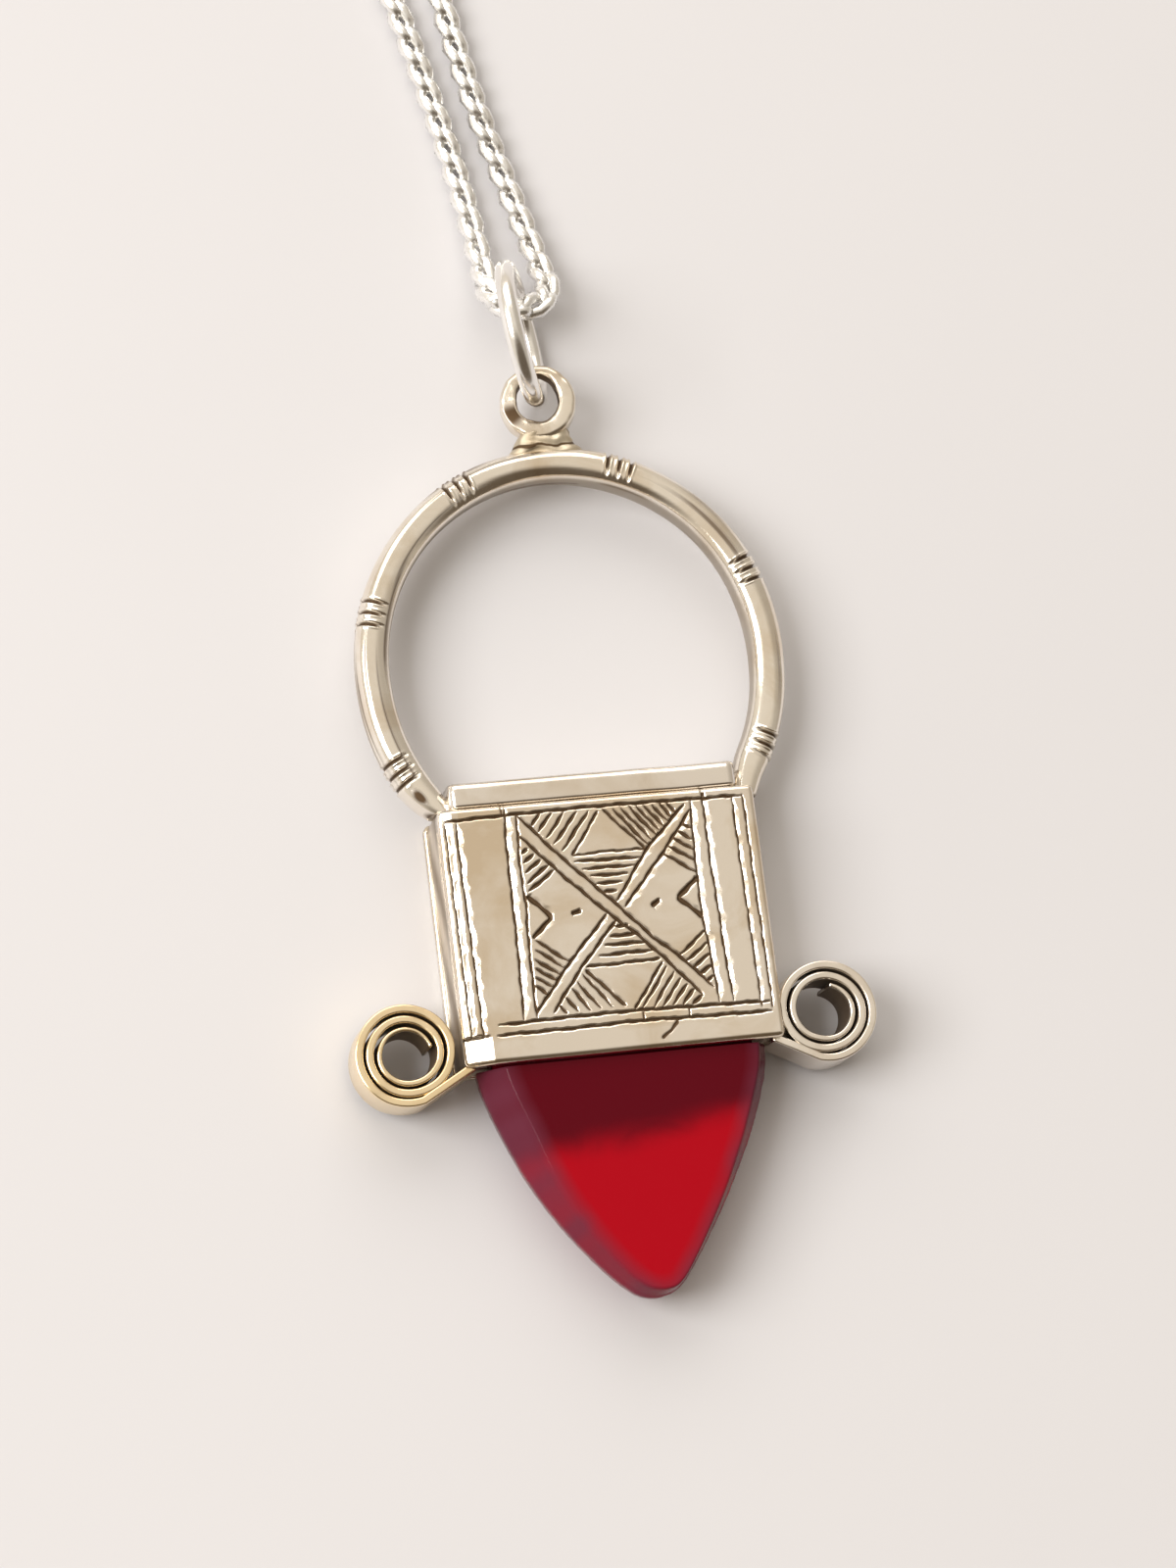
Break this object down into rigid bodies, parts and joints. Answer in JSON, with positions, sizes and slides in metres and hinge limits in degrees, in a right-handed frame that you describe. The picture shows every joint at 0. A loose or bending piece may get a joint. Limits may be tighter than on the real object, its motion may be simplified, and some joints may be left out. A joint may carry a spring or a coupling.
{
  "type": "tuareg cross pendant",
  "caption": "Silver talisman pendant with an engraved case, open hoop, rolled scrolls and red glass point, on a jump ring and a fine curb neck chain.",
  "frame": {"origin": "the middle of the case's flat back, on the surface the pendant lies on", "axes": "+X to the pendant's right as seen from its front, +Y from the glass point towards the eye and the chain, +Z out of the engraved front"},
  "size_m": [0.0861, 0.2415, 0.0074],
  "materials": {
    "frame_silver": "hand-finished silver, satin to bright, dark tarnish in the cuts",
    "red_glass": "polished deep red glass with ground bevels",
    "chain_silver": "polished silver"
  },
  "bodies": {
    "root": {"silver_frame": "frame_silver", "red_glass_point": "red_glass", "jump_ring": "chain_silver", "chain_left": "chain_silver", "chain_right": "chain_silver", "barrel_clasp": "chain_silver"}
  },
  "joints": []
}
